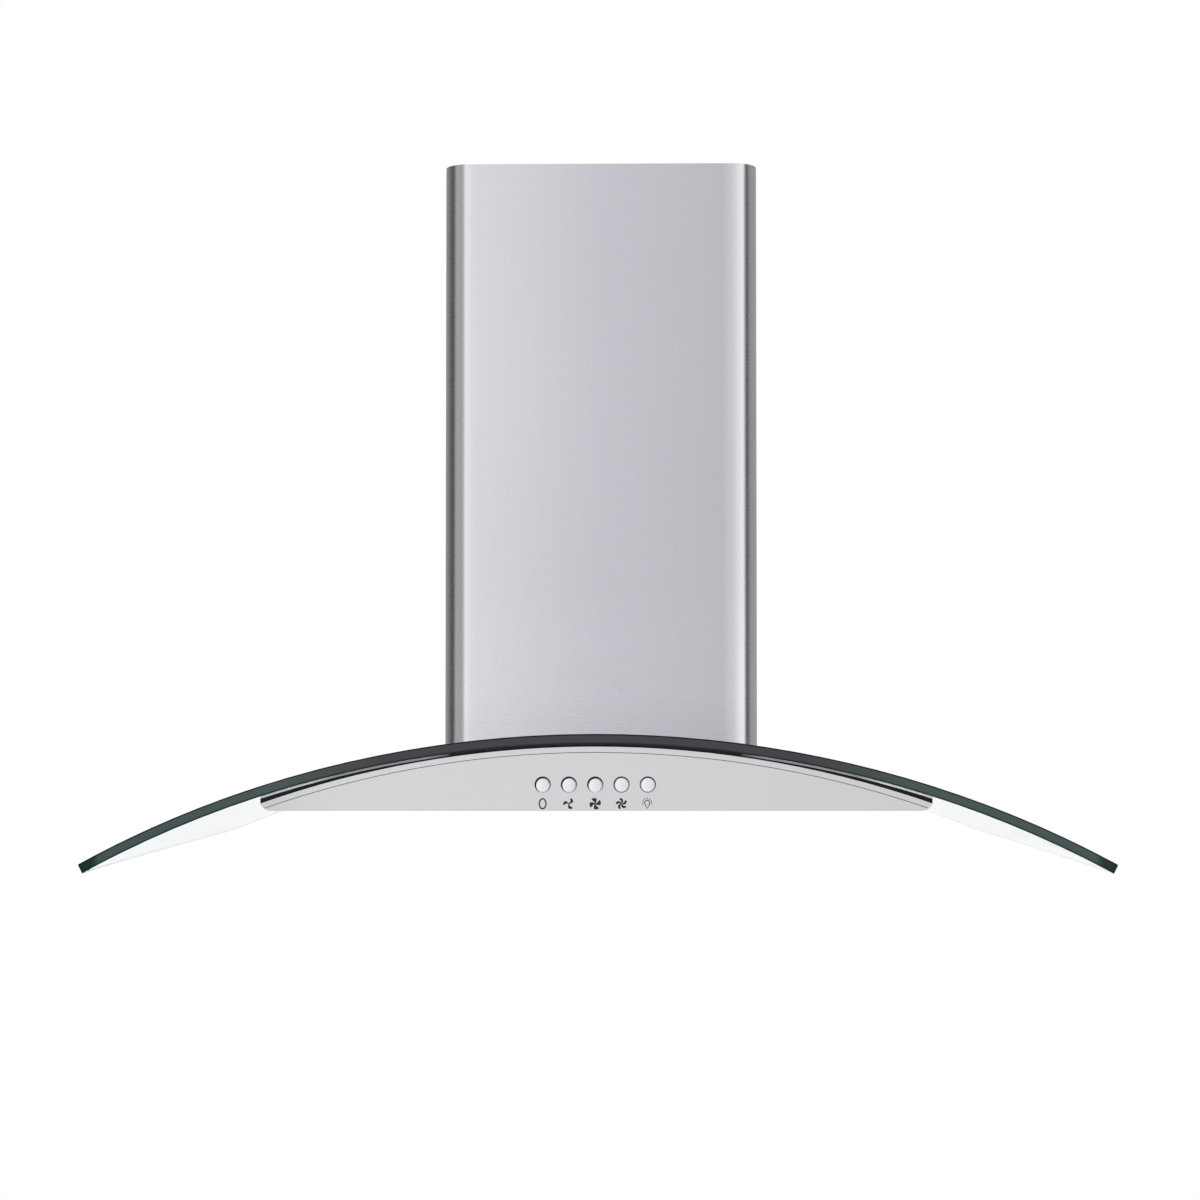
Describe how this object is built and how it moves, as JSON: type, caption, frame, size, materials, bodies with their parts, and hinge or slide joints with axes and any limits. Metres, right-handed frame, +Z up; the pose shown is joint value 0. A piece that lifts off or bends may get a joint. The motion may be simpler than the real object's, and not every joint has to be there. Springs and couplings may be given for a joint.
{
  "type": "range hood",
  "caption": "Wall range hood with an arched glass canopy, curved steel push-button front and tall square chimney.",
  "frame": {"origin": "on the wall plane, on the centre line, level with the underside of the steel body", "axes": "+X to the right seen from the front, -Y to the front, +Z up"},
  "size_m": [0.9, 0.48, 0.6612],
  "materials": {
    "steel_brushed": "fine brushed stainless steel",
    "steel_bright": "bright polished metal",
    "steel_plated": "zinc plated sheet steel",
    "aluminium_plain": "plain aluminium",
    "glass_clear": "clear toughened glass with green edges",
    "glass_frosted": "frosted lamp glass",
    "rubber_black": "black rubber",
    "plastic_black": "matt black moulded plastic",
    "plastic_grey": "matt grey moulded plastic",
    "plastic_white": "white moulded plastic"
  },
  "bodies": {
    "hood": {"back_panel": "steel_plated", "bearing_bracket": "steel_plated", "blower_box": "steel_plated", "bottom_panel": "steel_brushed", "button_guide": "plastic_black", "cable_gland": "plastic_black", "capacitor": "plastic_white", "chimney_brackets": "steel_plated", "chimney_lower": "steel_brushed", "filter_hooks": "steel_plated", "filter_magnets": "plastic_black", "filter_stop_rail": "steel_plated", "flap_pins": "steel_plated", "front_panel": "steel_brushed", "front_trim_strip": "steel_brushed", "glass_bolts": "steel_bright", "glass_canopy": "glass_clear", "glass_pads": "rubber_black", "glass_rails": "steel_plated", "glass_seal": "rubber_black", "junction_box": "plastic_white", "junction_cover": "plastic_white", "lamp_bezel_left": "steel_bright", "lamp_bezel_right": "steel_bright", "lamp_bulbs": "glass_frosted", "lamp_cans": "aluminium_plain", "lamp_lens_left": "glass_frosted", "lamp_lens_right": "glass_frosted", "motor": "aluminium_plain", "motor_bracket": "steel_plated", "mounting_plate": "steel_plated", "outlet_adaptor": "plastic_black", "outlet_collar": "plastic_black", "scroll_side_left": "plastic_grey", "scroll_side_right": "plastic_grey", "scroll_wrap": "plastic_grey", "sheet_screws": "steel_bright", "side_panel_left": "steel_brushed", "side_panel_right": "steel_brushed", "switch_block": "plastic_black", "top_deck": "steel_plated"},
    "filter_left": {"filter_frame_left": "aluminium_plain", "filter_mesh_left": "aluminium_plain", "filter_pull_left": "plastic_grey"},
    "filter_right": {"filter_frame_right": "aluminium_plain", "filter_mesh_right": "aluminium_plain", "filter_pull_right": "plastic_grey"},
    "fan_wheel": {"impeller": "plastic_black", "motor_shaft": "steel_bright"},
    "front_flap": {"flap_front": "plastic_grey"},
    "rear_flap": {"flap_rear": "plastic_grey"},
    "upper_chimney": {"chimney_upper": "steel_brushed", "ceiling_bracket": "steel_plated", "ceiling_bracket_screws": "steel_bright"},
    "push_button_1": {"button_1": "steel_bright"},
    "push_button_2": {"button_2": "steel_bright"},
    "push_button_3": {"button_3": "steel_bright"},
    "push_button_4": {"button_4": "steel_bright"},
    "push_button_5": {"button_5": "steel_bright"}
  },
  "joints": [
    {"name": "button_1_press", "type": "slide", "parent": "hood", "child": "push_button_1", "axis": [0, 1, 0], "range_m": [0, 0.004], "stiffness_N_per_m": 400, "springref_m": -0.001},
    {"name": "button_2_press", "type": "slide", "parent": "hood", "child": "push_button_2", "axis": [0, 1, 0], "range_m": [0, 0.004], "stiffness_N_per_m": 400, "springref_m": -0.001},
    {"name": "button_3_press", "type": "slide", "parent": "hood", "child": "push_button_3", "axis": [0, 1, 0], "range_m": [0, 0.004], "stiffness_N_per_m": 400, "springref_m": -0.001},
    {"name": "button_4_press", "type": "slide", "parent": "hood", "child": "push_button_4", "axis": [0, 1, 0], "range_m": [0, 0.004], "stiffness_N_per_m": 400, "springref_m": -0.001},
    {"name": "button_5_press", "type": "slide", "parent": "hood", "child": "push_button_5", "axis": [0, 1, 0], "range_m": [0, 0.004], "stiffness_N_per_m": 400, "springref_m": -0.001},
    {"name": "fan_spin", "type": "hinge", "parent": "hood", "child": "fan_wheel", "pos_m": [0, -0.075, 0.165], "axis": [1, 0, 0], "continuous": true},
    {"name": "flap_front_open", "type": "hinge", "parent": "hood", "child": "front_flap", "pos_m": [0, -0.1205, 0.352], "axis": [-1, 0, 0], "range_deg": [0, 80]},
    {"name": "flap_rear_open", "type": "hinge", "parent": "hood", "child": "rear_flap", "pos_m": [0, -0.1125, 0.352], "axis": [1, 0, 0], "range_deg": [0, 80]},
    {"name": "filter_left_tilt", "type": "hinge", "parent": "hood", "child": "filter_left", "pos_m": [0, -0.054, 0.0045], "axis": [1, 0, 0], "range_deg": [0, 80]},
    {"name": "filter_right_tilt", "type": "hinge", "parent": "hood", "child": "filter_right", "pos_m": [0, -0.054, 0.0045], "axis": [1, 0, 0], "range_deg": [0, 80]},
    {"name": "chimney_extend", "type": "slide", "parent": "hood", "child": "upper_chimney", "axis": [0, 0, 1], "range_m": [0, 0.34]}
  ]
}
